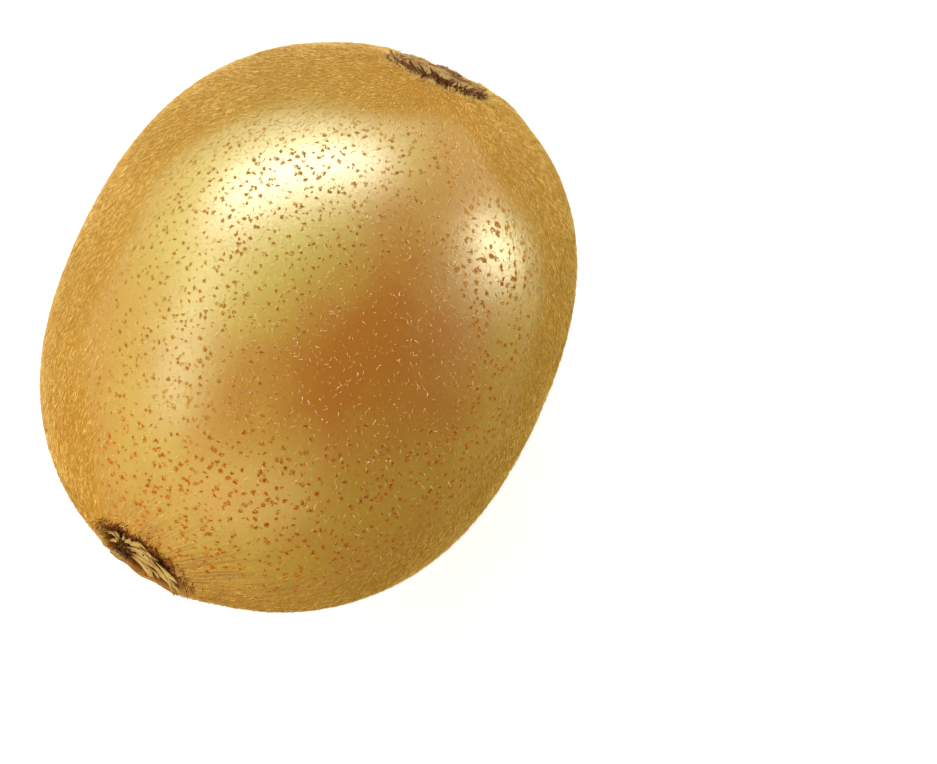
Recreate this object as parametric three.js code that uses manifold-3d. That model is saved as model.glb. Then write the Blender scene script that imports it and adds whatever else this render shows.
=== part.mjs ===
// A whole golden kiwi fruit, lying on its side on a small flat spot.
// Lengths are millimetres and angles are degrees. +Z is up, +X points along the fruit to its
// blossom end and -X to its stalk end. The origin is on the surface that the fruit lies on,
// under the middle of its outline.
import * as THREE from "three";
import { mergeVertices } from "three/addons/utils/BufferGeometryUtils.js";
import Module from "manifold-3d";

const wasm = await Module();
wasm.setup();

const { degToRad, radToDeg, lerp, smoothstep } = THREE.MathUtils;

// The body is an ellipsoid with square shoulders, so that both its ends are a little flat.
const BODY = {
  length: 64.0,
  width: 53.2,
  height: 53.0,
  shoulder: 0.021, // share of the radius that the shoulders stand proud
  shoulderAzimuth: 9.2,
  shoulderElevation: 8,
  restDepth: 0.4, // depth of the flat spot that it lies on
};

// Broad, shallow dents and swellings that keep the skin from being a perfect egg. Each is
// seen from the middle of the fruit: azimuth turns from +X to +Y, elevation goes up to +Z.
const LUMPS = [
  { azimuth: 14, elevation: 4, height: -0.35, spread: 16 },
  { azimuth: 150, elevation: 12, height: -0.35, spread: 26 },
  { azimuth: -52, elevation: 48, height: -0.55, spread: 24 },
  { azimuth: 60, elevation: -25, height: -0.4, spread: 26 },
  { azimuth: -95, elevation: -20, height: 0.4, spread: 30 },
];

// Each end has a hollow with the scar in it, a low rim, and puckers that run out. The hollow
// is oval: it reaches further from the scar towards one bearing.
const BLOSSOM = {
  azimuth: 4.5,
  elevation: 13,
  hollow: 6.4, // radius
  stretch: 0.25, // share of the radius that it reaches further
  toward: 270,
  depth: 1.0,
  rim: 0.2, // height
  puckers: 15,
};
const STALK = {
  azimuth: 172.2,
  elevation: 14.5,
  hollow: 4.7,
  stretch: 0.58,
  toward: 152,
  depth: 1.2,
  rim: 0.35,
  puckers: 12,
};
const PUCKER = 0.09; // height
const END_RADIUS = 31; // from the middle to either end, to turn distances into angles

const GAP = 0.35; // between the skin and the dry pieces that sit on it
const THIN = 0.65; // thickness of a sepal or a style

const STUB = { radius: 0.8, height: 1.9, foot: 1.15 };

// A sepal's bearing turns round the scar from +Y at 0 to +Z at 90.
const COLLAR = { inner: 1.55, outer: 2.5, height: 0.9 };
const SEPALS = [
  { bearing: 36, length: 1.9, width: 1.6, fold: 0.2, lift: 0.1, curl: -28 },
  { bearing: 110, length: 3.5, width: 1.2, fold: 0.2, lift: 0.1, curl: 10 },
  { bearing: 154, length: 3.1, width: 1.8, fold: 0.4, lift: 0, curl: -2 },
  { bearing: 186, length: 2.9, width: 2.0, fold: 0.3, lift: 0, curl: -14 },
  { bearing: 226, length: 2.2, width: 1.9, fold: 0.2, lift: 0, curl: -14 },
  { bearing: 318, length: 1.8, width: 2.0, fold: 0.3, lift: 0.2, curl: 12 },
];

const DISC = { radius: 5.0, thickness: 0.8, dimple: 0.35, folds: 9, fold: 0.16 };
const STYLES = { count: 24, inner: 5.3, outer: 6.0, height: 0.9, length: 1.3, width: 1.1 };

// Repeatable random numbers from 0 to 1.
function drawFrom(seed) {
  let state = seed;
  return () => {
    state = (state * 16807) % 2147483647;
    return state / 2147483647;
  };
}

function directionTo(azimuth, elevation) {
  const a = degToRad(azimuth);
  const e = degToRad(elevation);
  return new THREE.Vector3(Math.cos(e) * Math.cos(a), Math.cos(e) * Math.sin(a), Math.sin(e));
}

// The skin's own coordinates: polar is 0 at the blossom scar and 180 at the stalk scar, and
// around turns about the line between them, from +Y at 0 to +Z at 90. The scars aren't quite
// opposite each other, so the coordinates bend from one to the other.
function skinDirection(polar, around) {
  const p = degToRad(polar);
  const a = degToRad(around);
  const share = (1 + Math.cos(p)) / 2;
  const tilt = lerp(-STALK.elevation, BLOSSOM.elevation, share);
  const swing = lerp(STALK.azimuth - 180, BLOSSOM.azimuth, share);
  return new THREE.Vector3(Math.cos(p), Math.sin(p) * Math.cos(a), Math.sin(p) * Math.sin(a))
    .applyAxisAngle(new THREE.Vector3(0, 1, 0), degToRad(-tilt))
    .applyAxisAngle(new THREE.Vector3(0, 0, 1), degToRad(swing));
}

function bodyRadius(direction) {
  const egg = 1 / Math.hypot(
    (2 * direction.x) / BODY.length,
    (2 * direction.y) / BODY.width,
    (2 * direction.z) / BODY.height,
  );
  const shoulderAxis = directionTo(BODY.shoulderAzimuth, BODY.shoulderElevation);
  const shoulders = 1 - BODY.shoulder * Math.cos(4 * direction.angleTo(shoulderAxis));
  const lumps = LUMPS.reduce((sum, lump) => {
    const away = direction.angleTo(directionTo(lump.azimuth, lump.elevation));
    return sum + lump.height * Math.exp(-((away / degToRad(lump.spread)) ** 2));
  }, 0);
  return egg * shoulders + lumps;
}

const ovalReach = (end, around) => 1 + end.stretch * Math.cos(degToRad(around - end.toward));

// How far an end's hollow, rim and puckers move the skin, at a distance from the scar.
function endRelief(end, distance, around) {
  const share = distance / (end.hollow * ovalReach(end, around));
  const floor = -end.depth * (1 - smoothstep(share, 0.55, 1.15));
  const rim = end.rim * Math.exp(-(((share - 1.3) / 0.28) ** 2));
  const reach = smoothstep(share, 0.8, 1.2) * (1 - smoothstep(share, 1.5, 2.8));
  return floor + rim + PUCKER * reach * Math.cos(degToRad(end.puckers * around));
}

// A point at a height over the skin, measured from the middle of the fruit.
function skinPoint(polar, around, height) {
  const direction = skinDirection(polar, around);
  const radius =
    bodyRadius(direction) +
    endRelief(BLOSSOM, degToRad(polar) * END_RADIUS, around) +
    endRelief(STALK, degToRad(180 - polar) * END_RADIUS, around);
  return direction.multiplyScalar(radius + height);
}

// A point over one end: its distance and bearing from the scar, and its height. The distance
// is the one in a round hollow, and is stretched as the hollow is.
function pointOver(end, distance, bearing, height) {
  const angle = radToDeg((distance * ovalReach(end, bearing)) / END_RADIUS);
  return skinPoint(end === BLOSSOM ? angle : 180 - angle, bearing, height);
}

// Makes a solid of a closed shape, with each of its corners moved to where place puts it.
// The faces are turned over where the move has turned them in.
function bentSolid(shape, place) {
  const merged = mergeVertices(shape.deleteAttribute("normal").deleteAttribute("uv"), 1e-4);
  const corners = merged.attributes.position;
  for (let i = 0; i < corners.count; i++) {
    const { x, y, z } = place(new THREE.Vector3().fromBufferAttribute(corners, i));
    corners.setXYZ(i, x, y, z);
  }
  const make = (faces) =>
    new wasm.Manifold(
      new wasm.Mesh({ numProp: 3, vertProperties: corners.array, triVerts: faces }),
    );
  const faces = new Uint32Array(merged.index.array);
  const solid = make(faces);
  return solid.volume() > 0 ? solid : make(faces.reverse());
}

const joined = (solids) => solids.reduce((whole, solid) => whole.add(solid));

// A sphere's rows and columns become the skin's polar and around. The rows lie closer
// together at the ends, where the hollows are. The underside is cut flat where it rests.
function fruitSolid() {
  const columns = 72;
  const rows = 50;
  const crowding = 0.6;
  const whole = bentSolid(new THREE.SphereGeometry(1, columns, rows), (corner) => {
    const share = Math.acos(THREE.MathUtils.clamp(corner.y, -1, 1)) / Math.PI;
    const polar = 180 * (share - (crowding * Math.sin(2 * Math.PI * share)) / (2 * Math.PI));
    return skinPoint(polar, radToDeg(Math.atan2(corner.z, corner.x)), 0);
  });
  const size = 2 * BODY.length;
  const floor = whole.boundingBox().min[2] + BODY.restDepth;
  const above = bentSolid(new THREE.BoxGeometry(size, size, size), (corner) =>
    corner.setZ(corner.z + size / 2 + floor),
  );
  return whole.intersect(above);
}

// A solid of revolution about an end's scar, laid over its hollow. The profile's x is the
// distance from the scar and its y the height, and adjust changes the height by the bearing.
function ringSolid(end, profile, segments, adjust) {
  const points = profile.map(([x, y]) => new THREE.Vector2(x, y));
  return bentSolid(new THREE.LatheGeometry(points, segments), (corner) => {
    const distance = Math.hypot(corner.x, corner.z);
    const bearing = radToDeg(Math.atan2(corner.z, corner.x));
    return pointOver(end, distance, bearing, corner.y + adjust(corner.y, distance, bearing));
  });
}

// A ring round a scar with a rectangular section and a torn upper edge.
function tornRing(end, ring) {
  const profile = [
    [ring.inner, GAP],
    [ring.outer, GAP],
    [ring.outer, ring.height],
    [ring.inner, ring.height],
    [ring.inner, GAP],
  ];
  return ringSolid(end, profile, 44, (height, distance, bearing) => {
    const tear = Math.sin(degToRad(7 * bearing)) * Math.sin(degToRad(12 * bearing + 70));
    return height > GAP ? 0.15 * tear : 0;
  });
}

// A dry blade over an end's skin: it narrows to its tip, is folded along its middle, curls
// sideways and lifts away from the skin.
function bladeSolid(end, root, blade) {
  const { bearing, length, width, fold, lift, curl } = blade;
  const steps = Math.max(2, Math.round(length));
  const sides = width > 1.2 ? 4 : 2;
  const box = new THREE.BoxGeometry(1, 1, 2, steps, 1, sides).translate(0.5, 0.5, 0);
  return bentSolid(box, ({ x: share, y: level, z: side }) => {
    const taper = 0.18 + 0.82 * Math.sin(Math.PI * lerp(0.35, 1, share)) ** 0.8;
    const distance = root + length * share;
    const aside = radToDeg((side * taper * width) / 2 / distance);
    const crease = fold * (1 - Math.abs(side)) * Math.sin(Math.PI * share);
    const height = GAP + THIN * level + crease + lift * share ** 2;
    return pointOver(end, distance, bearing + curl * share ** 2 + aside, height);
  });
}

// The broken end of the stalk, in the middle of the stalk hollow.
function stubSolid() {
  const { radius, height, foot } = STUB;
  const profile = [
    [0, GAP],
    [foot, GAP],
    [foot, GAP + 0.25],
    [radius, 0.55 * height],
    [radius, height],
    [0.75 * radius, 1.05 * height],
    [0.45 * radius, 0.85 * height],
    [0, 0.8 * height],
  ];
  return ringSolid(STALK, profile, 14, (y, distance, bearing) =>
    y > GAP ? 0.1 * y * Math.sin(degToRad(3 * bearing)) * (distance / foot) : 0,
  );
}

// The dry calyx: papery sepals that spread from a collar round the stub.
function calyxSolid() {
  const root = lerp(COLLAR.inner, COLLAR.outer, 0.3);
  const sepals = SEPALS.map((sepal) => bladeSolid(STALK, root, sepal));
  return joined([tornRing(STALK, COLLAR), ...sepals]);
}

// The papery base of the flower, a crumpled disc in the middle of the blossom hollow.
function discSolid() {
  const { radius, thickness, dimple, folds, fold } = DISC;
  const rings = 6;
  const profile = [
    [0, GAP],
    [radius, GAP],
  ];
  for (let ring = rings; ring >= 0; ring--) {
    const out = ring / rings;
    const sink = dimple * Math.exp(-((out / 0.3) ** 2));
    profile.push([radius * out, GAP + thickness - 0.2 * out ** 4 - sink]);
  }
  return ringSolid(BLOSSOM, profile, 40, (height, distance, bearing) => {
    const out = distance / radius;
    return height > GAP ? fold * out * Math.cos(degToRad(folds * bearing + 150 * out)) : 0;
  });
}

// The dark ring of dried styles round the papery disc, torn into short shreds.
function stylesSolid() {
  const draw = drawFrom(23);
  const root = lerp(STYLES.inner, STYLES.outer, 0.3);
  const shreds = Array.from({ length: STYLES.count }, (_, i) =>
    bladeSolid(BLOSSOM, root, {
      bearing: (360 * (i + 0.8 * draw())) / STYLES.count,
      length: STYLES.length * lerp(0.4, 1.4, draw()),
      width: STYLES.width * lerp(0.7, 1.4, draw()),
      fold: 0.1,
      lift: 1.2 * draw(),
      curl: 34 * (draw() - 0.5),
    }),
  );
  return joined([tornRing(BLOSSOM, STYLES), ...shreds]);
}

// Colours are linear-light shares, as three.js keeps them.
const finishes = {
  skin: { color: new THREE.Color(0.52, 0.3, 0.06), roughness: 0.45, metalness: 0 },
  bark: { color: new THREE.Color(0.2, 0.1, 0.035), roughness: 0.85, metalness: 0 },
  straw: { color: new THREE.Color(0.58, 0.42, 0.17), roughness: 0.8, metalness: 0 },
  paper: { color: new THREE.Color(0.4, 0.25, 0.09), roughness: 0.85, metalness: 0 },
  umber: { color: new THREE.Color(0.09, 0.035, 0.015), roughness: 0.9, metalness: 0 },
};

function named(name, solid, finish) {
  const { vertProperties, triVerts } = solid.getMesh();
  const geometry = new THREE.BufferGeometry();
  geometry.setAttribute("position", new THREE.BufferAttribute(vertProperties, 3));
  geometry.setIndex(new THREE.BufferAttribute(triVerts, 1));
  geometry.computeVertexNormals();
  const mesh = new THREE.Mesh(geometry, new THREE.MeshStandardMaterial(finish));
  mesh.name = name;
  return mesh;
}

const kiwi = new THREE.Group();
kiwi.add(
  named("fruit", fruitSolid(), finishes.skin),
  named("stalk_stub", stubSolid(), finishes.bark),
  named("dry_calyx", calyxSolid(), finishes.straw),
  named("dry_flower_base", discSolid(), finishes.paper),
  named("dry_styles", stylesSolid(), finishes.umber),
);

// The group is moved so that its outline is centred over the origin and it lies on z = 0.
const outline = new THREE.Box3().setFromObject(kiwi);
const middle = outline.getCenter(new THREE.Vector3());
kiwi.position.set(-middle.x, -middle.y, -outline.min.z);

export default kiwi;
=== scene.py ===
import bmesh
import bpy
import numpy as np
from mathutils import Matrix, Vector


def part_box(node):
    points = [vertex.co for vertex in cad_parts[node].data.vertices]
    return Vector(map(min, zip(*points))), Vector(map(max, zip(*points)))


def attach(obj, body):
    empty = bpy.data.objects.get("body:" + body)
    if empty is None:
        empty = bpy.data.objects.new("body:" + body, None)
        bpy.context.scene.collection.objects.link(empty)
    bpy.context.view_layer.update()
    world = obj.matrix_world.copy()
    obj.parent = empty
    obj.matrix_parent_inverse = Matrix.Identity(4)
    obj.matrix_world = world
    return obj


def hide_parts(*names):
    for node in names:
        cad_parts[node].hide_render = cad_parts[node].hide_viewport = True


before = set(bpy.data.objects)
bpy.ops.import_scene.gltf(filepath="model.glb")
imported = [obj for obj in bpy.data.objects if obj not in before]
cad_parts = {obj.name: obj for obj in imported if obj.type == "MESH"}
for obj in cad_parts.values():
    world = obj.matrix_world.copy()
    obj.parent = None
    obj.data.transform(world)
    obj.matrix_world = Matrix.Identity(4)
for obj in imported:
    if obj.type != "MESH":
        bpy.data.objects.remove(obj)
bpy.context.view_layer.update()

# Skin and flesh
# The fruit grew as one body: an egg with square shoulders and a few shallow dents, a hollow
# at each end, and puckers that run out of the hollows. The skin is thin, satin gold, with dull
# rust-coloured flecks, and matt under the fuzz. Its colour carries painted light and shade:
# lemon on the lit side, orange brown on the shaded side, and darker under the fuzz.

# Lengths here and below are millimetres, and angles are degrees.
MM = 0.001
FLOOR_LEVEL = 0.0
BODY = {"length": 64.0, "width": 53.2, "height": 53.0}
SHOULDER = {"share": 0.021, "azimuth": 9.2, "elevation": 8}
LUMPS = [
    {"azimuth": 14, "elevation": 4, "height": -0.35, "spread": 16},
    {"azimuth": 150, "elevation": 12, "height": -0.35, "spread": 26},
    {"azimuth": -52, "elevation": 48, "height": -0.55, "spread": 24},
    {"azimuth": 60, "elevation": -25, "height": -0.4, "spread": 26},
    {"azimuth": -95, "elevation": -20, "height": 0.4, "spread": 30},
]
# Each end has an oval hollow, drawn out toward one bearing, with a low rim and puckers.
BLOSSOM = {
    "azimuth": 4.5,
    "elevation": 13,
    "hollow": 6.4,
    "stretch": 0.25,
    "toward": 270,
    "depth": 1.0,
    "rim": 0.2,
    "puckers": 15,
}
STALK = {
    "azimuth": 172.2,
    "elevation": 14.5,
    "hollow": 4.7,
    "stretch": 0.58,
    "toward": 152,
    "depth": 1.2,
    "rim": 0.35,
    "puckers": 12,
}
PUCKER = 0.09  # height
HOLLOW_WALL = (0.55, 1.15)  # these four are shares of the hollow's reach
RIM_BAND = {"middle": 1.3, "width": 0.28}
PUCKERS_RISE = (0.8, 1.2)
PUCKERS_FADE = (1.5, 2.8)
END_RADIUS = 31  # from the middle to either end, to turn distances into angles
SKIN_ROWS = 216
SKIN_COLUMNS = 300
ROW_CROWDING = 0.6  # how far the rows are drawn together at both ends
RUBBED = {"azimuth": -116, "elevation": 79, "bare": 46, "furred": 68, "waver": 4}
# Painted light and shade in the skin's colour: lemon on the lit side under the main highlight,
# orange brown on the shaded side and neck.
PAINTED_LIT_SIDE = {"azimuth": 56, "elevation": 56, "core": 12, "edge": 50, "shade_beyond": 0.5}
PAINTED_SHADE_SIDE = {"azimuth": -88, "elevation": 69, "spread": 30, "blush": 0.5}
PAINTED_SHADE_NECK = {"azimuth": -22, "elevation": 56, "spread": 17, "blush": 0.25}
FINE_FLECKS = {"per_metre": 1500, "smallest": 0.22, "largest": 0.42}
COARSE_FLECKS = {"per_metre": 1300, "smallest": 0.27, "largest": 0.47}
COARSE_FROM, COARSE_BY = 30, 75  # from the middle of the pale side
STREAKS_AROUND = 45
STREAKS_ALONG = 0.1
CORKY = 0.97  # share of scarring past which the skin is cork
# Where each change starts and is complete, out from a scar. The edge of its hollow is at 1.
SCARRED_BLOSSOM = (0.82, 1.05)
SCARRED_STALK = (0.85, 1.2)
BARE_BLOSSOM = (0.84, 1.0)
BARE_STALK = (0.9, 1.2)
SINGLE_HAIRS = {"blossom": (1.0, 1.3), "stalk": (1.1, 1.5), "thinned_by_fuzz": 0.75}
BALD_LIP = {"wider": 0.7, "turn": 15}
REDDENED = {"mean": 0.55, "swing": 0.45, "turn": 30, "reach": (1.1, 3.4), "thins_fuzz": 0.6}
FRINGE_BAND = {"middle": 1.13, "width": 0.15}
TUFT_BAND = {"middle": 1.12, "width": 0.16}
BRUSH_BELOW = 0.06  # share of the fringe and the tufts that also grow on the under side
# Lemon gold is the painted lit copy of the skin's colour, and orange gold its painted shaded copy.
LEMON_LIT_GOLD = (0.56, 0.46, 0.075, 1)
ORANGE_SHADED_GOLD = (0.44, 0.16, 0.012, 1)
# This gold darkens the skin under the fuzz, as painted shade of the hairs.
FUZZ_SHADE_GOLD = (0.38, 0.175, 0.018, 1)
# Umber is the scars' brown cork, painted darker still as shade in the hollows.
UMBER_AND_HOLLOW_SHADE = (0.075, 0.016, 0.005, 1)
STREAK_RED = (0.24, 0.065, 0.018, 1)
CORKY_BROWN = (0.15, 0.048, 0.018, 1)
RUST_BROWN = (0.44, 0.19, 0.022, 1)
RUST_RED = (0.52, 0.15, 0.016, 1)
SPECK_BROWN = (0.20, 0.085, 0.006, 1)
SPECK_RED = (0.22, 0.055, 0.003, 1)
SKIN_MOTTLE = 95  # patches to a metre
SKIN_GRAIN = 2600
CORK_GRAIN = 1800
SKIN_IOR = 1.6
SKIN_ROUGHNESS = (0.31, 0.41)
GLOSS = 0.9
DULLED_GLOSS = 0.1


def smoothstep(value, low, high):
    share = np.clip((value - low) / (high - low), 0, 1)
    return share * share * (3 - 2 * share)


def band(value, middle, width):
    return np.exp(-(((value - middle) / width) ** 2))


def direction_to(azimuth, elevation):
    a, e = np.radians(azimuth), np.radians(elevation)
    return np.array([np.cos(e) * np.cos(a), np.cos(e) * np.sin(a), np.sin(e)])


def angle_from(directions, azimuth, elevation):
    """Degrees between each direction and the one of that azimuth and elevation."""
    cosine = np.clip(directions @ direction_to(azimuth, elevation), -1, 1)
    return np.degrees(np.arccos(cosine))


def skin_direction(polar, around):
    """Polar is 0 at the blossom scar and 180 at the stalk scar; around is 0 at +Y, 90 at +Z."""
    p, a = np.radians(polar), np.radians(around)
    share = (1 + np.cos(p)) / 2
    tilt = np.radians(-STALK["elevation"] * (1 - share) + BLOSSOM["elevation"] * share)
    swing = np.radians((STALK["azimuth"] - 180) * (1 - share) + BLOSSOM["azimuth"] * share)
    x, y, z = np.cos(p) + 0 * a, np.sin(p) * np.cos(a), np.sin(p) * np.sin(a)
    x, z = x * np.cos(tilt) - z * np.sin(tilt), x * np.sin(tilt) + z * np.cos(tilt)
    x, y = x * np.cos(swing) - y * np.sin(swing), x * np.sin(swing) + y * np.cos(swing)
    return np.stack([x, y, z], axis=-1)


def body_radius(directions):
    half = np.array([BODY["length"], BODY["width"], BODY["height"]]) / 2
    egg = 1 / np.linalg.norm(directions / half, axis=-1)
    from_shoulders = angle_from(directions, SHOULDER["azimuth"], SHOULDER["elevation"])
    radius = egg * (1 - SHOULDER["share"] * np.cos(np.radians(4 * from_shoulders)))
    for lump in LUMPS:
        away = angle_from(directions, lump["azimuth"], lump["elevation"])
        radius = radius + lump["height"] * band(away, 0, lump["spread"])
    return radius


def oval_reach(end, around):
    return 1 + end["stretch"] * np.cos(np.radians(around - end["toward"]))


def end_relief(end, distance, around):
    share = distance / (end["hollow"] * oval_reach(end, around))
    floor = -end["depth"] * (1 - smoothstep(share, *HOLLOW_WALL))
    rim = end["rim"] * band(share, **RIM_BAND)
    reach = smoothstep(share, *PUCKERS_RISE) * (1 - smoothstep(share, *PUCKERS_FADE))
    return floor + rim + PUCKER * reach * np.cos(np.radians(end["puckers"] * around))


def skin_point(polar, around, height=0.0):
    """Millimetres from the middle of the fruit, at a height over the skin."""
    directions = skin_direction(polar, around)
    radius = (
        body_radius(directions)
        + end_relief(BLOSSOM, np.radians(polar) * END_RADIUS, around)
        + end_relief(STALK, np.radians(180 - polar) * END_RADIUS, around)
        + height
    )
    return directions * radius[..., None]


def middle_of_fruit():
    """Where the model has the middle of the fruit, in millimetres."""
    around, polar = np.meshgrid(np.arange(0, 360, 2.0), np.arange(0, 181, 1.5))
    spread = skin_point(polar, around).reshape(-1, 3)
    low, high = (np.array(corner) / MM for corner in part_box("fruit"))
    middle = (low + high) / 2 - (spread.min(axis=0) + spread.max(axis=0)) / 2
    middle[2] = high[2] - spread[:, 2].max()
    return middle


MIDDLE = middle_of_fruit()


def in_scene(name, data):
    made = bpy.data.objects.new(name, data)
    bpy.context.scene.collection.objects.link(made)
    return made


def woven(rows, **attributes):
    """A closed form through rows of points that each go round once. The first row and the
    last are drawn into single points. Attributes have a value for each point."""
    count, around = rows.shape[:2]
    at = np.arange(count * around).reshape(count, around)
    at[0] = at[0, 0]
    at[-1] = at[-1, 0]
    faces = []
    for row in range(count - 1):
        here, there = at[row], at[row + 1]
        for c in range(around):
            n = (c + 1) % around
            corners = [here[c], there[c], there[n], here[n]]
            faces.append([int(v) for i, v in enumerate(corners) if v != corners[i - 1]])
    flat = {name: np.reshape(v, (count * around, -1)) for name, v in attributes.items()}
    return rows.reshape(-1, 3), faces, flat


def piece_from(name, parts):
    """One object made of closed forms, in its place in the model, with all its faces out."""
    points, faces, first = [], [], 0
    for part_points, part_faces, _ in parts:
        points.append(part_points)
        faces += [[first + v for v in face] for face in part_faces]
        first += len(part_points)
    placed = (np.concatenate(points) + MIDDLE) * MM
    placed[:, 2] = np.maximum(placed[:, 2], FLOOR_LEVEL)
    mesh = bpy.data.meshes.new(name)
    mesh.from_pydata(placed.tolist(), [], faces)
    for attribute in parts[0][2]:
        values = np.concatenate([part[2][attribute] for part in parts])
        kind, field = ("FLOAT", "value") if values.shape[1] == 1 else ("FLOAT_VECTOR", "vector")
        made = mesh.attributes.new(attribute, kind, "POINT")
        made.data.foreach_set(field, values.astype(np.float32).ravel())
    form = bmesh.new()
    form.from_mesh(mesh)
    loose = [vertex for vertex in form.verts if not vertex.link_faces]
    bmesh.ops.delete(form, geom=loose, context="VERTS")
    bmesh.ops.recalc_face_normals(form, faces=form.faces)
    form.to_mesh(mesh)
    form.free()
    mesh.shade_smooth()
    return in_scene(name, mesh)


def give(tree, socket, value):
    """Joins an input to another node's output, or gives it a value."""
    if isinstance(value, bpy.types.NodeSocket):
        tree.links.new(value, socket)
    else:
        socket.default_value = value


def add(tree, kind, inputs=None, **settings):
    """A node with its settings, and its inputs given values or joined to other outputs."""
    made = tree.nodes.new(kind)
    for name, value in settings.items():
        setattr(made, name, value)
    for name, value in (inputs or {}).items():
        give(tree, made.inputs[name], value)
    return made


def math(tree, operation, first, second=0.0, clamp=False):
    inputs = {0: first, 1: second}
    return add(tree, "ShaderNodeMath", inputs, operation=operation, use_clamp=clamp).outputs[0]


def vector(tree, operation, inputs):
    return add(tree, "ShaderNodeVectorMath", inputs, operation=operation).outputs[0]


def noise(tree, where, scale, detail=2.0, roughness=0.5):
    inputs = {"Vector": where, "Scale": scale, "Detail": detail, "Roughness": roughness}
    return add(tree, "ShaderNodeTexNoise", inputs)


def ramped(tree, value, low, high, to_low=0.0, to_high=1.0):
    inputs = {0: value, 1: low, 2: high, 3: to_low, 4: to_high}
    return add(tree, "ShaderNodeMapRange", inputs, interpolation_type="SMOOTHSTEP").outputs[0]


def mixed(tree, share, first, second):
    made = add(tree, "ShaderNodeMix", {0: share}, data_type="RGBA")
    for value, socket in zip((first, second), [s for s in made.inputs if s.type == "RGBA"]):
        give(tree, socket, value)
    return [s for s in made.outputs if s.type == "RGBA"][0]


def attribute(tree, name, output="Fac"):
    return add(tree, "ShaderNodeAttribute", attribute_name=name).outputs[output]


def new_material(name):
    material = bpy.data.materials.new(name)
    material.use_nodes = True
    tree = material.node_tree
    where = add(tree, "ShaderNodeTexCoord").outputs["Object"]
    return material, tree, tree.nodes["Principled BSDF"], where


def bumped(tree, shader, height, strength, depth):
    """Roughens a shader's surface by a pattern of heights, down to a depth in millimetres."""
    inputs = {"Strength": strength, "Distance": depth * MM, "Height": height}
    bump = add(tree, "ShaderNodeBump", inputs)
    tree.links.new(bump.outputs["Normal"], shader.inputs["Normal"])


def flecks(tree, where, per_metre, smallest, largest):
    """Ragged spots, one for each cell of the pattern that the skin passes near enough. The
    second value is the uneven dark core of the spot."""
    wander = noise(tree, where, 2.6 * per_metre, detail=1).outputs["Color"]
    wander = vector(tree, "SUBTRACT", {0: wander, 1: (0.5,) * 3})
    moved = vector(tree, "MULTIPLY_ADD", {0: wander, 1: (0.7 / per_metre,) * 3, 2: where})
    cells = add(tree, "ShaderNodeTexVoronoi", {"Vector": moved, "Scale": per_metre})
    lot = add(tree, "ShaderNodeSeparateColor", {"Color": cells.outputs["Color"]}).outputs[0]
    reach = ramped(tree, lot, 0.0, 1.0, smallest, largest)
    nearness = math(tree, "DIVIDE", cells.outputs["Distance"], reach)
    whole = ramped(tree, nearness, 0.7, 1.0, 1.0, 0.0)
    ragged = noise(tree, where, 3.6 * per_metre, detail=1).outputs["Fac"]
    mark = math(tree, "MULTIPLY", whole, ramped(tree, ragged, 0.36, 0.46))
    uneven = math(tree, "SUBTRACT", nearness, noise(tree, where, 5.0 * per_metre).outputs["Fac"])
    return mark, ramped(tree, uneven, -0.25, 0.1, 1.0, 0.0)


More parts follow.
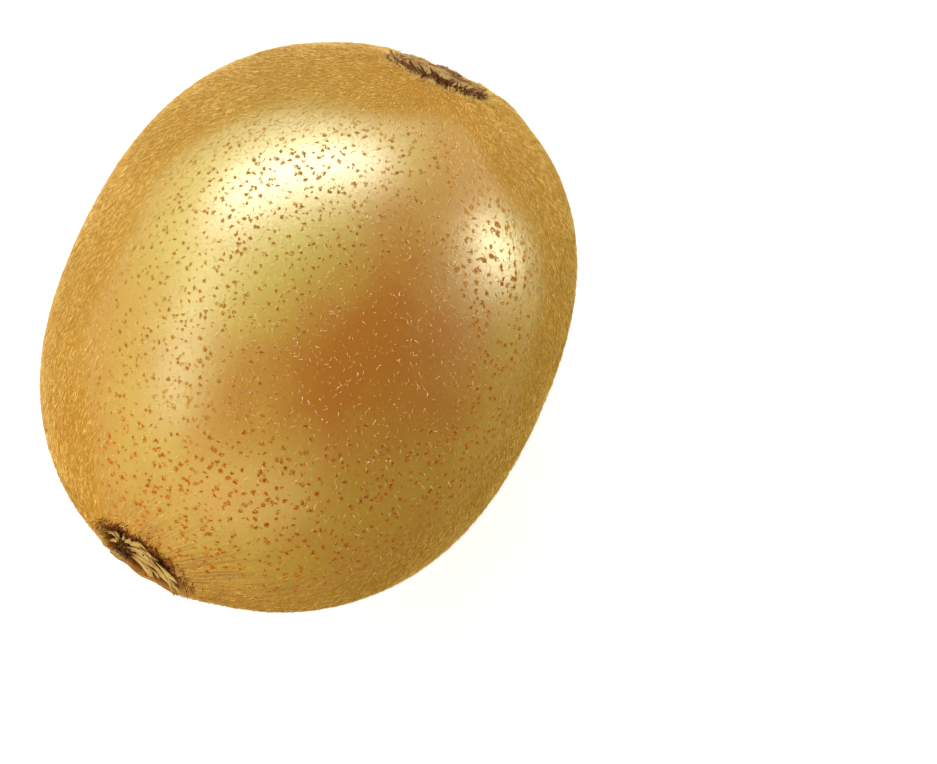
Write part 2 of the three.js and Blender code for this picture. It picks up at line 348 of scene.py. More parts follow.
def skin_material():
    material, tree, shader, where = new_material("golden_skin")
    coarse = attribute(tree, "coarse")
    furred = attribute(tree, "fuzz")
    mottle = noise(tree, where, SKIN_MOTTLE, detail=3).outputs["Fac"]
    grain = noise(tree, where, SKIN_GRAIN, detail=3, roughness=0.6).outputs["Fac"]
    streaks = noise(tree, attribute(tree, "meridian", "Vector"), 1.0, detail=3).outputs["Fac"]

    # Painted light and shade: lemon on the lit side, orange brown where shade falls, with a random
    # mottle on top.
    cloud = ramped(tree, mottle, 0.35, 0.65, -0.12, 0.12)
    blush = math(tree, "ADD", attribute(tree, "blush"), cloud, clamp=True)
    colour = mixed(tree, blush, LEMON_LIT_GOLD, ORANGE_SHADED_GOLD)
    # The skin is painted darker under the fuzz, as shade of the hairs.
    colour = mixed(tree, math(tree, "MULTIPLY", furred, 0.8), colour, FUZZ_SHADE_GOLD)
    streaked = ramped(tree, streaks, 0.45, 0.62)
    reddened = math(tree, "MULTIPLY", streaked, attribute(tree, "reddened"))
    colour = mixed(tree, reddened, colour, STREAK_RED)
    colour = mixed(tree, ramped(tree, grain, 0.35, 0.6, 0.14, 0.0), colour, RUST_BROWN)

    fine, fine_core = flecks(tree, where, **FINE_FLECKS)
    broad, broad_core = flecks(tree, where, **COARSE_FLECKS)
    marks = ramped(tree, coarse, 0.2, 0.6, fine, broad)
    marks = math(tree, "MULTIPLY", marks, ramped(tree, furred, 0.0, 1.0, 1.0, 0.15))
    marks = math(tree, "MULTIPLY", marks, ramped(tree, blush, 0.72, 0.95, 1.0, 0.1))
    core = ramped(tree, coarse, 0.2, 0.6, fine_core, broad_core)
    rust = mixed(tree, coarse, RUST_BROWN, RUST_RED)
    speck = mixed(tree, coarse, SPECK_BROWN, SPECK_RED)
    rust = mixed(tree, core, rust, speck)
    colour = mixed(tree, marks, colour, rust)
    scarred = attribute(tree, "scarred")
    # The scarred floor of each hollow turns umber: brown cork, painted darker as the hollow's
    # shade.
    colour = mixed(tree, scarred, colour, UMBER_AND_HOLLOW_SHADE)
    tree.links.new(colour, shader.inputs["Base Color"])

    roughness = ramped(tree, grain, 0.3, 0.7, *SKIN_ROUGHNESS)
    roughness = math(tree, "ADD", roughness, math(tree, "MULTIPLY", marks, 0.2))
    roughness = math(tree, "ADD", roughness, math(tree, "MULTIPLY", scarred, 0.5))
    roughness = math(tree, "ADD", roughness, math(tree, "MULTIPLY", furred, 0.35), clamp=True)
    tree.links.new(roughness, shader.inputs["Roughness"])
    shader.inputs["IOR"].default_value = SKIN_IOR
    dull = ramped(tree, furred, 0.3, 1.0, 0.0, 0.9)
    dull = math(tree, "MAXIMUM", dull, math(tree, "MULTIPLY", marks, 1.4))
    dull = math(tree, "MAXIMUM", dull, scarred, clamp=True)
    gloss = ramped(tree, dull, 0.0, 1.0, GLOSS, DULLED_GLOSS)
    shader.inputs["Specular IOR Level"].default_value = GLOSS
    tree.links.new(gloss, shader.inputs["Specular IOR Level"])

    relief = math(tree, "MULTIPLY", grain, 0.35)
    relief = math(tree, "ADD", relief, math(tree, "MULTIPLY", marks, 0.6))
    relief = math(tree, "ADD", relief, math(tree, "MULTIPLY", reddened, 0.5))
    bumped(tree, shader, relief, strength=0.6, depth=0.1)
    return material


def scar_material():
    """The dull, corky skin on the floor of both hollows, its umber painted darker as their shade.
    """
    material, tree, shader, where = new_material("corky_scar")
    cork = noise(tree, where, CORK_GRAIN, detail=4, roughness=0.6).outputs["Fac"]
    colour = mixed(tree, ramped(tree, cork, 0.45, 0.7), UMBER_AND_HOLLOW_SHADE, CORKY_BROWN)
    tree.links.new(colour, shader.inputs["Base Color"])
    shader.inputs["Roughness"].default_value = 0.9
    shader.inputs["Specular IOR Level"].default_value = DULLED_GLOSS
    bumped(tree, shader, cork, strength=0.8, depth=0.15)
    return material


def past_hollow(end, from_scar, around):
    """How far out of an end's hollow a place is, where 1 is its edge."""
    return np.radians(from_scar) * END_RADIUS / end["hollow"] / oval_reach(end, around)


def standing_fuzz(polar, around, past_blossom, past_stalk):
    """The fuzz is gone from the rubbed upper side, both hollows and one lip of the stalk's."""
    rubbed = angle_from(skin_direction(polar, around), RUBBED["azimuth"], RUBBED["elevation"])
    waver = np.sin(np.radians(4 * polar)) * np.sin(np.radians(5 * around + 3 * polar))
    fuzz = smoothstep(rubbed + RUBBED["waver"] * waver, RUBBED["bare"], RUBBED["furred"])
    lip_side = np.clip(-np.sin(np.radians(around - BALD_LIP["turn"])), 0, 1)
    bald_lip = 1 + BALD_LIP["wider"] * lip_side
    fuzz = fuzz * smoothstep(past_blossom, *BARE_BLOSSOM)
    return fuzz * smoothstep(past_stalk / bald_lip, *BARE_STALK)


def light_and_shade_of(directions):
    """Painted light and shade: lemon on the lit side, turning orange brown away from it and most
    where shade falls.
    """
    pale = angle_from(directions, PAINTED_LIT_SIDE["azimuth"], PAINTED_LIT_SIDE["elevation"])
    blush = PAINTED_LIT_SIDE["shade_beyond"] * smoothstep(pale, PAINTED_LIT_SIDE["core"], PAINTED_LIT_SIDE["edge"])
    for patch in (PAINTED_SHADE_SIDE, PAINTED_SHADE_NECK):
        away = angle_from(directions, patch["azimuth"], patch["elevation"])
        blush = blush + patch["blush"] * band(away, 0, patch["spread"])
    return blush


def skin_form():
    share = np.linspace(0, 1, SKIN_ROWS + 1)
    polar = 180 * (share - ROW_CROWDING * np.sin(2 * np.pi * share) / (2 * np.pi))
    around = np.linspace(0, 360, SKIN_COLUMNS, endpoint=False)
    around, polar = np.meshgrid(around, polar)
    directions = skin_direction(polar, around)
    comb = skin_point(polar + 0.5, around) - skin_point(polar - 0.5, around)
    comb = comb / np.linalg.norm(comb, axis=-1, keepdims=True)
    past_blossom = past_hollow(BLOSSOM, polar, around)
    past_stalk = past_hollow(STALK, 180 - polar, around)
    turn = np.radians(around)
    side = REDDENED["mean"] - REDDENED["swing"] * np.cos(np.radians(around - REDDENED["turn"]))
    reddened = side * (1 - smoothstep(past_stalk, *REDDENED["reach"]))
    fuzz = standing_fuzz(polar, around, past_blossom, past_stalk)
    fuzz = fuzz * (1 - REDDENED["thins_fuzz"] * reddened)
    stalk_scar = 1 - smoothstep(past_stalk, *SCARRED_STALK)
    blossom_scar = 1 - smoothstep(past_blossom, *SCARRED_BLOSSOM)
    brush = BRUSH_BELOW + (1 - BRUSH_BELOW) * np.clip(np.sin(turn), 0, 1) ** 0.6
    sparse = 1 - SINGLE_HAIRS["thinned_by_fuzz"] * fuzz
    sparse = sparse * smoothstep(past_blossom, *SINGLE_HAIRS["blossom"])
    sparse = sparse * smoothstep(past_stalk, *SINGLE_HAIRS["stalk"])
    across = [STREAKS_AROUND * np.cos(turn), STREAKS_AROUND * np.sin(turn)]
    from_lit_side = angle_from(directions, PAINTED_LIT_SIDE["azimuth"], PAINTED_LIT_SIDE["elevation"])
    return woven(
        skin_point(polar, around),
        comb=comb,
        fuzz=fuzz,
        blush=light_and_shade_of(directions),
        coarse=smoothstep(from_lit_side, COARSE_FROM, COARSE_BY),
        scarred=stalk_scar + blossom_scar,
        reddened=reddened,
        meridian=np.stack([*across, STREAKS_ALONG * polar], axis=-1),
        sparse=sparse,
        fringe=brush**2 * band(past_stalk, **FRINGE_BAND),
        tuft=brush * band(past_blossom, **TUFT_BAND),
    )


skin = piece_from("golden_skin", [skin_form()])
skin.data.materials.append(skin_material())
skin.data.materials.append(scar_material())
scarring = [point.value for point in skin.data.attributes["scarred"].data]
corky_points = {point for point, share in enumerate(scarring) if share > CORKY}
for face in skin.data.polygons:
    face.material_index = int(corky_points.issuperset(face.vertices))
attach(skin, "root")
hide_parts("fruit")

# Fuzz
# Short, fine, pale hairs that grow out of the skin and lie along it towards the stalk. They
# are rubbed off the upper side, and dense round the flanks and underneath. They are sown in
# three lots, one piece each.
FUZZ = {
    "per_mm2": 6.2,
    "shortest": 0.3,
    "longest": 0.7,
    "slimness": 0.13,  # thickness at the root as a share of the length
    "joints": 1,
    "curl": 0.2,
    "combed": 1.0,
    "lean": 0.2,
    "stray": 0.12,
}
FUZZ_LOTS = 3
FUZZ_SEED = 4
FUZZ_PALE = (0.98, 0.74, 0.26, 1)
FUZZ_DARK = (0.58, 0.34, 0.05, 1)
HAIR_ROOT = 0.06  # share of a hair that is sunk in the skin
FULL_TURN = 6.2832  # radians
HAIR_PATCHES = 160  # patches of one tone to a metre
HAIR_INPUTS = {
    "Surface": "NodeSocketGeometry",
    "Mask": "NodeSocketString",
    "Hairs per square metre": "NodeSocketFloat",
    "Shortest": "NodeSocketFloat",
    "Longest": "NodeSocketFloat",
    "Slimness": "NodeSocketFloat",
    "Joints": "NodeSocketInt",
    "Curl": "NodeSocketFloat",
    "Combed": "NodeSocketFloat",
    "Lean": "NodeSocketFloat",
    "Stray": "NodeSocketFloat",
    "Lowest": "NodeSocketFloat",
    "Seed": "NodeSocketInt",
    "Material": "NodeSocketMaterial",
}


def field(tree, name, kind="FLOAT"):
    made = add(tree, "GeometryNodeInputNamedAttribute", {"Name": name}, data_type=kind)
    return made.outputs["Attribute"]


def drawn(tree, seed, low, high, turn):
    """A random value for each hair. Each turn is another draw from the same seed."""
    inputs = {"Min": low, "Max": high, "Seed": math(tree, "ADD", seed, turn)}
    made = tree.nodes.new("FunctionNodeRandomValue")
    made.data_type = "FLOAT_VECTOR" if isinstance(low, tuple) else "FLOAT"
    open_inputs = {s.name: s for s in made.inputs if s.enabled}
    for name, value in inputs.items():
        give(tree, open_inputs[name], value)
    return [s for s in made.outputs if s.enabled][0]


def bent_spike(tree, given):
    """One closed hair, upright and one unit long, that tapers and bends more to its tip."""
    spike = add(
        tree,
        "GeometryNodeMeshCone",
        {
            "Vertices": 3,
            "Side Segments": given["Joints"],
            "Radius Top": 0.0,
            "Radius Bottom": given["Slimness"],
            "Depth": 1.0,
        },
    ).outputs["Mesh"]
    place = add(tree, "GeometryNodeInputPosition").outputs[0]
    up = add(tree, "ShaderNodeSeparateXYZ", {0: place}).outputs["Z"]
    bend = math(tree, "MULTIPLY", math(tree, "MULTIPLY", up, up), given["Curl"])
    offset = add(tree, "ShaderNodeCombineXYZ", {"X": bend, "Z": -HAIR_ROOT}).outputs[0]
    hair = add(tree, "GeometryNodeSetPosition", {"Geometry": spike, "Offset": offset})
    return hair.outputs["Geometry"]


def combed_turn(tree, given, normal):
    """Turns a hair along the surface's comb attribute. It leans out, strays, and is spun."""
    comb = field(tree, "comb", "FLOAT_VECTOR")
    along = vector(tree, "SCALE", {0: comb, "Scale": given["Combed"]})
    aside = drawn(tree, given["Seed"], (-1, -1, -1), (1, 1, 1), 1)
    stray = vector(tree, "SCALE", {0: aside, "Scale": given["Stray"]})
    rise = vector(tree, "SCALE", {0: normal, "Scale": given["Lean"]})
    level = vector(tree, "ADD", {0: along, 1: stray})
    heading = vector(tree, "ADD", {0: level, 1: rise})
    spin = drawn(tree, given["Seed"], 0.0, FULL_TURN, 2)
    spun = add(tree, "ShaderNodeCombineXYZ", {"Z": spin}).outputs[0]
    aim = {"Rotation": spun, "Vector": heading}
    return add(tree, "FunctionNodeAlignRotationToVector", aim, axis="Z").outputs[0]


def kept_above(tree, geometry, lowest):
    """Lifts every point that is under a level up to it."""
    place = add(tree, "GeometryNodeInputPosition").outputs[0]
    spot = add(tree, "ShaderNodeSeparateXYZ", {0: place}).outputs
    height = math(tree, "MAXIMUM", spot["Z"], lowest)
    inputs = {"X": spot["X"], "Y": spot["Y"], "Z": height}
    kept = add(tree, "ShaderNodeCombineXYZ", inputs).outputs[0]
    clear = add(tree, "GeometryNodeSetPosition", {"Geometry": geometry, "Position": kept})
    return clear.outputs["Geometry"]


def hair_tree():
    """Sows hairs over a surface where its named mask allows."""
    tree = bpy.data.node_groups.new("sown_hairs", "GeometryNodeTree")
    for name, kind in HAIR_INPUTS.items():
        tree.interface.new_socket(name, in_out="INPUT", socket_type=kind)
    tree.interface.new_socket("Hairs", in_out="OUTPUT", socket_type="NodeSocketGeometry")
    given = tree.nodes.new("NodeGroupInput").outputs
    seed = given["Seed"]

    mask = field(tree, given["Mask"])
    density = math(tree, "MULTIPLY", given["Hairs per square metre"], mask)
    where = {"Mesh": given["Surface"], "Density": density, "Seed": seed}
    sown = add(tree, "GeometryNodeDistributePointsOnFaces", where).outputs
    planted = add(
        tree,
        "GeometryNodeInstanceOnPoints",
        {
            "Points": sown["Points"],
            "Instance": bent_spike(tree, given),
            "Rotation": combed_turn(tree, given, sown["Normal"]),
            "Scale": drawn(tree, seed, given["Shortest"], given["Longest"], 3),
        },
    ).outputs["Instances"]
    toned = add(
        tree,
        "GeometryNodeStoreNamedAttribute",
        {"Geometry": planted, "Name": "tone", "Value": drawn(tree, seed, 0.0, 1.0, 4)},
        data_type="FLOAT",
        domain="INSTANCE",
    ).outputs["Geometry"]
    real = add(tree, "GeometryNodeRealizeInstances", {"Geometry": toned}).outputs["Geometry"]
    clear = kept_above(tree, real, given["Lowest"])
    finish = {"Geometry": clear, "Material": given["Material"]}
    dyed = add(tree, "GeometryNodeSetMaterial", finish).outputs["Geometry"]
    add(tree, "NodeGroupOutput", {"Hairs": dyed})
    return tree


HAIR_TREE = hair_tree()


def grown(name, mask, hairs, seed, material):
    """The hairs that the tree sows on the skin, as a plain mesh of their own."""
    sower = in_scene("sower", skin.data)
    modifier = sower.modifiers.new("hairs", "NODES")
    modifier.node_group = HAIR_TREE
    values = {
        "Mask": mask,
        "Hairs per square metre": hairs["per_mm2"] / MM**2,
        "Shortest": hairs["shortest"] * MM,
        "Longest": hairs["longest"] * MM,
        "Slimness": hairs["slimness"] / 2,
        "Joints": hairs["joints"],
        "Curl": hairs["curl"],
        "Combed": hairs["combed"],
        "Lean": hairs["lean"],
        "Stray": hairs["stray"],
        "Lowest": FLOOR_LEVEL,
        "Seed": seed,
        "Material": material,
    }
    for item in HAIR_TREE.interface.items_tree:
        if item.name in values:
            modifier[item.identifier] = values[item.name]
    evaluated = sower.evaluated_get(bpy.context.evaluated_depsgraph_get())
    mesh = bpy.data.meshes.new_from_object(evaluated)
    mesh.name = name
    bpy.data.objects.remove(sower)
    return in_scene(name, mesh)


def hair_material(name, pale, dark, roughness):
    material, tree, shader, where = new_material(name)
    patch = noise(tree, where, HAIR_PATCHES, detail=2).outputs["Fac"]
    tone = math(tree, "MULTIPLY", attribute(tree, "tone"), ramped(tree, patch, 0.3, 0.7, 0.7, 1.3))
    tree.links.new(mixed(tree, tone, dark, pale), shader.inputs["Base Color"])
    shader.inputs["Roughness"].default_value = roughness
    shader.inputs["Specular IOR Level"].default_value = 0.2
    return material


pale_fuzz = hair_material("pale_fuzz", FUZZ_PALE, FUZZ_DARK, 0.5)
for lot in range(FUZZ_LOTS):
    fuzz = grown(f"fuzz_{lot + 1}", "fuzz", FUZZ, FUZZ_SEED + lot, pale_fuzz)
    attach(fuzz, "root")

# Curled hairs
# Tiny stiff curls that are left standing singly where the rest is rubbed off, and a few among
# the fuzz. They are whiter than the fuzz, and show best against the browner side.
CURLS = {
    "per_mm2": 2.3,
    "shortest": 0.2,
    "longest": 0.5,
    "slimness": 0.18,
    "joints": 2,
    "curl": 0.9,
    "combed": 0.5,
    "lean": 0.45,
    "stray": 0.9,
}
CURLS_SEED = 11
CURL_PALE = (0.95, 0.80, 0.55, 1)
CURL_DARK = (0.75, 0.45, 0.18, 1)

pale_curls = hair_material("pale_curls", CURL_PALE, CURL_DARK, 0.4)
curls = grown("curled_hairs", "sparse", CURLS, CURLS_SEED, pale_curls)
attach(curls, "root")

# Stalk stub
# The broken end of the stalk, a short woody peg in the stalk hollow. It flares at its foot,
# its bark is ridged, and its broken end shows rings round a small pith.
STUB_PROFILE = [  # distance from its middle line, and height over the skin
    (0, 0.3),
    (0.7, 0.3),
    (1.15, 0.38),
    (1.2, 0.62),
    (1.0, 0.85),
    (0.85, 1.15),
    (0.8, 1.5),
    (0.82, 1.8),
    (0.76, 1.98),
    (0.64, 2.0),
    (0.56, 1.88),
    (0.44, 1.93),
    (0.34, 1.8),
    (0.2, 1.83),
    (0.1, 1.68),
    (0, 1.66),
]
STUB_COLUMNS = 64
STUB_RIDGE = 0.05  # share of the stub's radius
STUB_TILT = 0.08
STUB_RINGS = 34.0  # radians of the ring pattern to a millimetre
BARK_FIBRES = 4200  # to a metre
BARK_BROWN = (0.055, 0.016, 0.006, 1)
BARK_TAN = (0.50, 0.33, 0.14, 1)


def over(end, distance, bearing, height=0.0):
    """A point over one end. The distance from the scar is stretched as the hollow is."""
    angle = np.degrees(distance * oval_reach(end, bearing) / END_RADIUS)
    return skin_point(angle if end is BLOSSOM else 180 - angle, bearing, height)


def stub_form():
    profile = np.array(STUB_PROFILE)
    bearing = np.linspace(0, 360, STUB_COLUMNS, endpoint=False)
    ridges = 1 + STUB_RIDGE * np.cos(np.radians(13 * bearing))
    ridges = ridges + STUB_RIDGE * np.sin(np.radians(3 * bearing))
    lean = STUB_TILT * np.cos(np.radians(bearing - 40))
    distance = profile[:, :1] * ridges
    height = profile[:, 1:] * (1 + lean * (profile[:, 1:] > 1))
    bearing = np.broadcast_to(bearing, distance.shape)
    growth = np.broadcast_to(profile[:, :1] * (profile[:, 1:] > 1.6), distance.shape)
    return woven(over(STALK, distance, bearing, height), growth=growth)


def bark_material():
    material, tree, shader, where = new_material("stub_bark")
    fibres = noise(tree, where, BARK_FIBRES, detail=3).outputs["Fac"]
    growth = attribute(tree, "growth")
    rings = math(tree, "SINE", math(tree, "MULTIPLY", growth, STUB_RINGS))
    rings = ramped(tree, rings, -0.4, 0.8)
    broken_end = ramped(tree, growth, 0.02, 0.1)
    tan = math(tree, "MULTIPLY", math(tree, "MULTIPLY", rings, broken_end), 0.8)
    tan = math(tree, "ADD", tan, ramped(tree, fibres, 0.45, 0.7, 0.0, 0.4), clamp=True)
    tree.links.new(mixed(tree, tan, BARK_BROWN, BARK_TAN), shader.inputs["Base Color"])
    shader.inputs["Roughness"].default_value = 0.8
    shader.inputs["Specular IOR Level"].default_value = 0.1
    bumped(tree, shader, fibres, strength=0.6, depth=0.1)
    return material


stub = piece_from("woody_stub", [stub_form()])
stub.data.materials.append(bark_material())
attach(stub, "root")
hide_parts("stalk_stub")

# Calyx
# Dried sepals that stayed on round the stub, papery and straw coloured. They are folded
# lengthwise and veined, and lie in the hollow; torn threads of them lie between.
SEPAL_ROOT = 1.25  # distance from the scar
SEPALS = [
    {"bearing": 40, "length": 2.1, "width": 1.4, "fold": 0.2, "lift": 0.1, "curl": -24},
    {"bearing": 98, "length": 1.8, "width": 0.5, "fold": 0.1, "lift": 0.4, "curl": 0},
    {"bearing": 110, "length": 4.2, "width": 0.7, "fold": 0.2, "lift": 0.1, "curl": 10},
    {"bearing": 154, "length": 3.7, "width": 1.2, "fold": 0.45, "lift": 0, "curl": -2},
    {"bearing": 184, "length": 3.6, "width": 1.3, "fold": 0.3, "lift": 0, "curl": -14},
    {"bearing": 226, "length": 2.8, "width": 1.5, "fold": 0.2, "lift": 0, "curl": -14},
    {"bearing": 318, "length": 2.4, "width": 1.8, "fold": 0.3, "lift": 0.2, "curl": 12},
]
SEPAL_THICKNESS = 0.14
SEPAL_HEIGHT = 0.45  # over the skin
SEPAL_ROWS = 26
SEPAL_LANES = 9
THREADS = 18
THREAD_ROOT = 1.0
THREAD_THICKNESS = 0.1
THREAD_SEED = 5
STRAW = (0.62, 0.45, 0.20, 1)
STRAW_DARK = (0.26, 0.13, 0.04, 1)
STRAW_FIBRES = 2.2
STRAW_STAINS = 700  # to a metre


def blade_form(end, root, blade, thickness, height, lot, rows=SEPAL_ROWS, lanes=SEPAL_LANES):
    """A dry blade that starts at a distance from an end's scar. It narrows to its tip, is
    folded along its middle, veined, wavy at its edges, and curls and lifts away. Each lot
    number gives it other veins and waves."""
    share = np.linspace(0, 1, rows)[:, None]
    lane = np.linspace(-1, 1, lanes)
    side = np.concatenate([lane, lane[::-1]])[None, :]
    level = np.concatenate([np.ones(lanes), -np.ones(lanes)])[None, :]
    taper = 0.12 + 0.88 * np.sin(np.pi * (0.3 + 0.7 * share)) ** 0.8
    ragged = 1 + 0.14 * np.sin(17 * share + lot) * np.sin(41 * share + 3 * lot)
    distance = root + blade["length"] * share
    aside = np.degrees(side * taper * ragged * blade["width"] / 2 / distance)
    bearing = blade["bearing"] + blade["curl"] * share**2 + aside
    crease = blade["fold"] * (1 - np.abs(side)) * np.sin(np.pi * share)
    veins = 0.035 * np.cos(12 * side + lot)
    wave = 0.09 * side**2 * np.sin(9 * share + 2 * lot + side)
    rise = blade["lift"] * share**2
    up = height + level * thickness / 2 + crease + veins + wave + rise
    along = np.broadcast_arrays(9 * side + lot, 0.9 * share, level)
    points = over(end, np.broadcast_to(distance, up.shape), bearing, up)
    return woven(points, fibre=np.stack(along, axis=-1))


def torn_threads():
    draw = np.random.default_rng(THREAD_SEED)
    threads = []
    for turn in range(THREADS):
        thread = {
            "bearing": 60 + 150 * draw.random(),
            "length": 1.5 + 2.8 * draw.random(),
            "width": 0.14 + 0.16 * draw.random(),
            "fold": 0,
            "lift": 0.4 * draw.random(),
            "curl": 60 * (draw.random() - 0.5),
        }
        height = SEPAL_HEIGHT + 0.4 * draw.random()
        lot = 3.0 * turn
        threads.append(blade_form(STALK, THREAD_ROOT, thread, THREAD_THICKNESS, height, lot))
    return threads


def straw_material(name, pale, dark):
    material, tree, shader, where = new_material(name)
    along = attribute(tree, "fibre", "Vector")
    fibres = noise(tree, along, STRAW_FIBRES, detail=4).outputs["Fac"]
    stains = noise(tree, where, STRAW_STAINS, detail=3).outputs["Fac"]
    streaked = ramped(tree, fibres, 0.4, 0.65, 0, 0.6)
    stained = ramped(tree, stains, 0.5, 0.7, 0, 0.6)
    shade = math(tree, "ADD", streaked, stained)
    tree.links.new(mixed(tree, shade, pale, dark), shader.inputs["Base Color"])
    shader.inputs["Roughness"].default_value = 0.6
    shader.inputs["Specular IOR Level"].default_value = 0.12
    bumped(tree, shader, fibres, strength=0.5, depth=0.08)
    return material


sepal_forms = [
    blade_form(STALK, SEPAL_ROOT, sepal, SEPAL_THICKNESS, SEPAL_HEIGHT, 1.7 * turn)
    for turn, sepal in enumerate(SEPALS)
]
sepals = piece_from("dried_sepals", sepal_forms + torn_threads())
sepals.data.materials.append(straw_material("straw", STRAW, STRAW_DARK))
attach(sepals, "root")
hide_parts("dry_calyx")

# Fringe of the stalk hollow
# Coarse, dark hairs that crowd along the rim of the stalk hollow and hang over it. They are
# the same hairs as the fuzz, longer and reddish brown.
FRINGE = {
    "per_mm2": 15.0,
    "shortest": 0.4,
    "longest": 1.0,
    "slimness": 0.17,
    "joints": 2,
    "curl": 0.2,
    "combed": -0.35,
    "lean": 0.75,
    "stray": 0.35,
}
FRINGE_SEED = 21
FRINGE_PALE = (0.55, 0.22, 0.07, 1)
FRINGE_DARK = (0.15, 0.034, 0.011, 1)

dark_fringe = hair_material("dark_fringe", FRINGE_PALE, FRINGE_DARK, 0.6)
fringe = grown("shaggy_fringe", "fringe", FRINGE, FRINGE_SEED, dark_fringe)
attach(fringe, "root")

# Papery flower base
# The dried base of the flower fills the blossom hollow: a thin, crumpled disc with fibres
# that run out to a torn edge.
DISC = {
    "radius": 5.3,
    "height": 0.55,
    "thickness": 0.3,
    "folds": 9,
    "fold": 0.16,
    "crumple": 0.13,
    "dimple": 0.3,
    "ragged": 0.16,
}
DISC_ROWS = 34
DISC_COLUMNS = 220
DISC_SEED = 8
PAPER_PALE = (0.46, 0.30, 0.11, 1)
PAPER_DARK = (0.17, 0.075, 0.022, 1)


def disc_form():
    draw = np.random.default_rng(DISC_SEED)
    bearing = np.linspace(0, 360, DISC_COLUMNS, endpoint=False)
    share = np.linspace(0, 1, DISC_ROWS)[:, None]
    fibres = draw.random(DISC_COLUMNS)
    fibres = (fibres + np.roll(fibres, 1)) / 2
    edge = 1 + DISC["ragged"] * (fibres - 0.5)
    distance = DISC["radius"] * share * (1 + (edge - 1) * share**4)
    pleats = DISC["fold"] * share * np.cos(np.radians(DISC["folds"] * bearing + 150 * share))
    crumple = np.sin(np.radians(5 * bearing) + 9 * share) * np.sin(14 * share + 1)
    crumple = DISC["crumple"] * crumple
    dimple = DISC["dimple"] * band(share, 0, 0.3)
    ragged = DISC["ragged"] * (fibres - 0.5) * share
    top = DISC["height"] + pleats + crumple + ragged - dimple
    low = top - DISC["thickness"] * (1 - 0.8 * share**3)
    heights = np.concatenate([top, low[::-1]])
    reach = np.concatenate([distance, distance[::-1]])
    bearings = np.broadcast_to(bearing, heights.shape)
    out = np.concatenate([share, share[::-1]]) + 0 * heights
    turn = np.radians(bearings)
    fibre = np.stack([2.5 * np.cos(turn), 2.5 * np.sin(turn), 9 * out], axis=-1)
    return woven(over(BLOSSOM, reach, bearings, heights), fibre=fibre)


disc = piece_from("papery_disc", [disc_form()])
disc.data.materials.append(straw_material("paper", PAPER_PALE, PAPER_DARK))
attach(disc, "root")
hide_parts("dry_flower_base")

# Dried styles
# What is left of the flower's styles and petals lies in tufts round the disc, shrivelled and
# torn. The shreds stand up, dark red-brown, on the upper side, and are pressed flat below.
BROAD_SHREDS = {"count": 121, "widest": 0.42, "longest": 1.4, "seed": 17}
WISPS = {"count": 55, "widest": 0.2, "longest": 1.9, "seed": 29}
STYLES = {"nearest": 3.8, "furthest": 5.6, "height": 0.5, "lift": 0.9, "thickness": 0.1}
CLUMPS = [48, 76, 97, 113, 142, 172, 205, 238, 266, 300, 335]  # bearings of the tufts
CLUMP_SPREAD = 6
SHRED_ROWS = 12
SHRED_LANES = 5
SHRED_DARK = (0.14, 0.040, 0.018, 1)
SHRED_RED = (0.50, 0.27, 0.12, 1)


def shreds(count, widest, longest, seed):
    draw = np.random.default_rng(seed)
    forms = []
    for turn in range(count):
        bearing = CLUMPS[turn % len(CLUMPS)] + CLUMP_SPREAD * draw.standard_normal()
        upright = 0.1 + 0.9 * smoothstep(np.sin(np.radians(bearing)), -0.1, 0.5)
        shred = {
            "bearing": bearing,
            "length": longest * (0.4 + 0.6 * upright) * (0.3 + 0.7 * draw.random()),
            "width": widest * (0.3 + 0.7 * draw.random()),
            "fold": 0.25 * draw.random(),
            "lift": upright * STYLES["lift"] * draw.random(),
            "curl": 36 * (draw.random() - 0.5),
        }
        reach = STYLES["furthest"] - STYLES["nearest"] - (1 - upright)
        root = STYLES["nearest"] + reach * draw.random()
        height = STYLES["height"] * (0.45 + 0.6 * upright + 0.5 * draw.random())
        sizes = [STYLES["thickness"], height, 2.3 * turn, SHRED_ROWS, SHRED_LANES]
        forms.append(blade_form(BLOSSOM, root, shred, *sizes))
    return forms


styles = piece_from("torn_styles", shreds(**BROAD_SHREDS) + shreds(**WISPS))
styles.data.materials.append(straw_material("dark_shreds", SHRED_DARK, SHRED_RED))
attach(styles, "root")
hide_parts("dry_styles")

# Tufts of the blossom end
# The fuzz grows longest where it meets the blossom hollow, and stands up in a golden brush
# in front of the dried styles.
TUFT = {
    "per_mm2": 16.0,
    "shortest": 0.4,
    "longest": 0.9,
    "slimness": 0.12,
    "joints": 2,
    "curl": 0.3,
    "combed": -0.4,
    "lean": 0.9,
    "stray": 0.4,
}
TUFT_SEED = 31
TUFT_PALE = (0.88, 0.62, 0.22, 1)
TUFT_DARK = (0.60, 0.35, 0.07, 1)

golden_tufts = hair_material("golden_tufts", TUFT_PALE, TUFT_DARK, 0.5)
tufts = grown("rim_tufts", "tuft", TUFT, TUFT_SEED, golden_tufts)
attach(tufts, "root")

# Floor, light and camera
# A plain pale floor under the fruit. Soft boxes stand round it from the upper left to the
# lower left and low at the right. Two cards show in its gloss alone and one box in its colour
# alone. The camera looks straight down, turned like the picture.
PICTURE_TURN = np.radians(58.1)
PICTURE_SCALE = 9.36  # pixels to a millimetre
PICTURE_WIDTH = 937  # pixels
FRUIT_IN_PICTURE = (-160.6, 55.9)  # pixels right of the picture's middle and above it
LENS = 150
SENSOR = 36
NEAREST_SEEN = 10
FLOOR_HALF = 3000
FLOOR_DROP = 0.05
FLOOR_COLOUR = (0.80, 0.86, 0.97, 1)
FLOOR_GLOW = 0.6
STUDIO_TINT = (1.0, 0.90, 0.70, 1)
HORIZON_LIGHT = 0.40
ZENITH_LIGHT = 0.05
FLAGGED_LIGHT = 0.25  # share of the studio's light that is left at the picture's lower right
WHITE = (1.0, 1.0, 1.0)
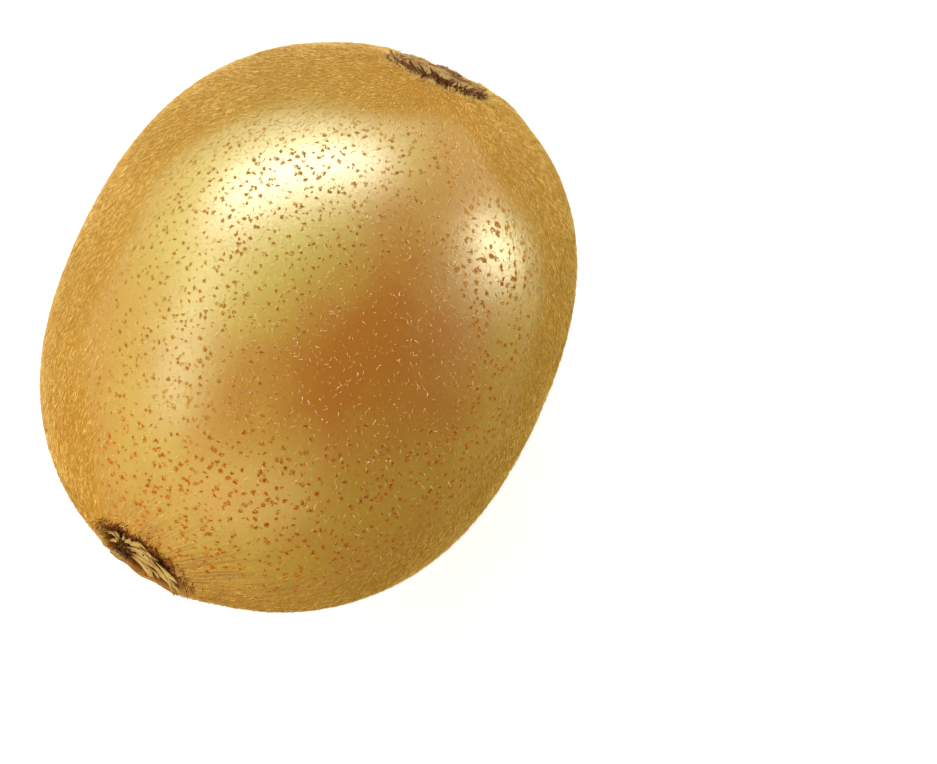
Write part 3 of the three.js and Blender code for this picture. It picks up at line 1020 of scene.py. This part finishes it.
# Places are from the middle of the fruit: to the picture's right, to its top, and above it.
SOFT_BOXES = {
    "upper_left_box": {"place": (-80, 285, 205), "size": (500, 130), "power": 1.27},
    "upper_left_card": {
        "place": (-65, 285, 225),
        "size": (420, 150),
        "power": 1.55,
        "diffuse": False,
    },
    "left_box": {
        "place": (-270, 0, 245),
        "size": (220, 70),
        "power": 0.35,
        "colour": (1.0, 0.96, 0.8),
    },
    "right_box": {
        "place": (330, 55, 40),
        "size": (120, 130),
        "power": 0.85,
        "colour": (1.0, 1.0, 0.68),
    },
    "lower_left_box": {
        "place": (-300, -420, 200),
        "size": (800, 400),
        "power": 3.8,
        "colour": (1.0, 0.88, 0.50),
        "glossy": False,
    },
    "lower_left_card": {
        "place": (-100, -470, 330),
        "size": (500, 300),
        "power": 1.0,
        "colour": (1.0, 0.86, 0.42),
        "diffuse": False,
    },
}

RIGHT = Vector((np.cos(PICTURE_TURN), -np.sin(PICTURE_TURN), 0))
UP = Vector((np.sin(PICTURE_TURN), np.cos(PICTURE_TURN), 0))
ABOVE = Vector((0, 0, 1))
HEART = Vector(MIDDLE) * MM


def pale_floor():
    mesh = bpy.data.meshes.new("floor")
    low, high = -FLOOR_HALF * MM, FLOOR_HALF * MM
    corners = [(low, low), (high, low), (high, high), (low, high)]
    mesh.from_pydata([(x, y, -FLOOR_DROP * MM) for x, y in corners], [], [(0, 1, 2, 3)])
    floor = in_scene("floor", mesh)
    material = bpy.data.materials.new("pale_floor")
    material.use_nodes = True
    shader = material.node_tree.nodes["Principled BSDF"]
    shader.inputs["Base Color"].default_value = FLOOR_COLOUR
    shader.inputs["Emission Color"].default_value = FLOOR_COLOUR
    shader.inputs["Emission Strength"].default_value = FLOOR_GLOW
    shader.inputs["Roughness"].default_value = 0.9
    floor.data.materials.append(material)
    # Kept out of reflections and bounced light, because its white would grey the gold skin.
    floor.visible_glossy = False
    floor.visible_diffuse = False


def soft_box(name, place, size, power, colour=WHITE, glossy=True, diffuse=True):
    """An area light aimed at the fruit, seen in its gloss, in its colour, or in both."""
    lamp = bpy.data.lights.new(name, "AREA")
    lamp.shape = "RECTANGLE"
    lamp.size = size[0] * MM
    lamp.size_y = size[1] * MM
    lamp.energy = power
    lamp.color = colour
    right, up, above = place
    away = (RIGHT * right + UP * up + ABOVE * above) * MM
    made = in_scene(name, lamp)
    made.location = HEART + away
    made.rotation_euler = away.to_track_quat("Z", "Y").to_euler()
    made.visible_glossy = glossy
    made.visible_diffuse = diffuse


def studio():
    world = bpy.data.worlds.new("studio")
    world.use_nodes = True
    tree = world.node_tree
    direction = add(tree, "ShaderNodeTexCoord").outputs["Generated"]
    height = add(tree, "ShaderNodeSeparateXYZ", {0: direction}).outputs["Z"]
    strength = ramped(tree, height, 0.1, 0.9, HORIZON_LIGHT, ZENITH_LIGHT)
    dark_side = (RIGHT - UP).normalized()
    inputs = {0: direction, 1: dark_side}
    facing = add(tree, "ShaderNodeVectorMath", inputs, operation="DOT_PRODUCT").outputs["Value"]
    strength = math(tree, "MULTIPLY", strength, ramped(tree, facing, 0.0, 0.8, 1.0, FLAGGED_LIGHT))
    backdrop = tree.nodes["Background"]
    backdrop.inputs["Color"].default_value = STUDIO_TINT
    tree.links.new(strength, backdrop.inputs["Strength"])
    bpy.context.scene.world = world
    for name, box in SOFT_BOXES.items():
        soft_box(name, **box)


def camera():
    distance = PICTURE_WIDTH * LENS / SENSOR / PICTURE_SCALE
    across, upward = FRUIT_IN_PICTURE
    made = in_scene("camera", bpy.data.cameras.new("camera"))
    made.data.lens = LENS
    made.data.sensor_width = SENSOR
    made.data.clip_start = NEAREST_SEEN * MM
    where = HEART - (RIGHT * across + UP * upward) / PICTURE_SCALE * MM + ABOVE * distance * MM
    turned = Matrix([RIGHT, UP, ABOVE]).transposed().to_4x4()
    made.matrix_world = Matrix.Translation(where) @ turned
    bpy.context.scene.camera = made


pale_floor()
studio()
camera()
bpy.context.scene.view_settings.view_transform = "Standard"
